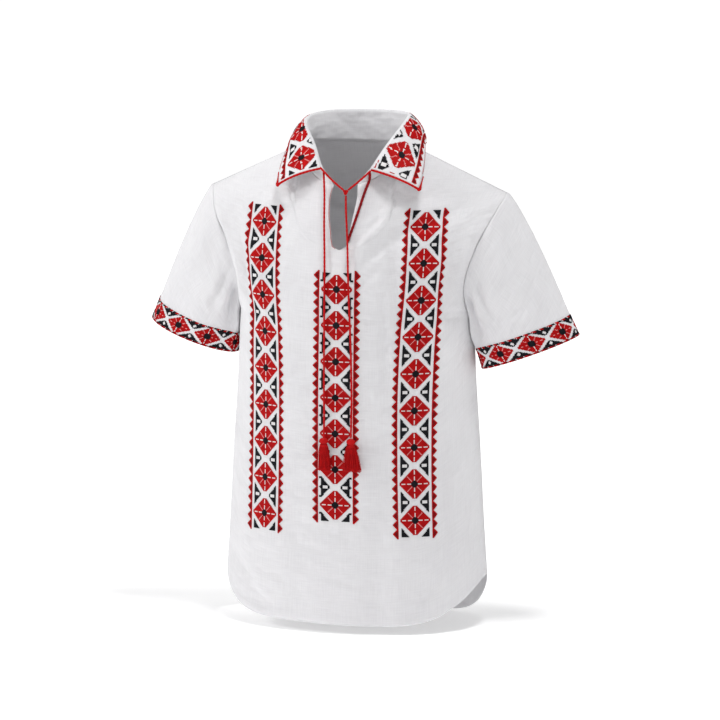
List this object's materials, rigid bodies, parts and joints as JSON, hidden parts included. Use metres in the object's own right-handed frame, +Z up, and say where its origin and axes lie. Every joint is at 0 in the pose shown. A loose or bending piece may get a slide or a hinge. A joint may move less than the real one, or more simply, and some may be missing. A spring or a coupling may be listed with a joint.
{
  "type": "embroidered linen tunic shirt, short-sleeved, filled out as worn on the shoulders",
  "caption": "White linen tunic shirt with short sleeves, turn-down collar, tied neck slit with tassels and red and black geometric embroidery.",
  "frame": {"origin": "centre of the neck at the height of the shoulder seams' neck points, where the wearer's shoulders hold the shirt", "axes": "+Z up along the body, -Y towards the front of the shirt, +X towards the wearer's left"},
  "size_m": [0.6571, 0.2453, 0.7539],
  "materials": {
    "linen": "plain-woven white linen, matt",
    "embroidery": "red, black and white cotton cross-stitch",
    "red_cord": "twisted red cotton cord and tassel yarn"
  },
  "bodies": {
    "root": {"front": "linen", "back": "linen", "sleeve_right": "linen", "sleeve_left": "linen", "collar": "linen", "collar_stand": "linen", "band_right": "embroidery", "band_centre": "embroidery", "band_left": "embroidery", "cuff_band_right": "embroidery", "cuff_band_left": "embroidery", "piping_right": "red_cord", "piping_left": "red_cord", "slit_trim": "red_cord", "tie_right": "red_cord", "tie_left": "red_cord", "tie_cross_right": "red_cord", "tie_cross_left": "red_cord", "tie_knot": "red_cord", "tassel_right": "red_cord", "tassel_left": "red_cord"}
  },
  "joints": []
}
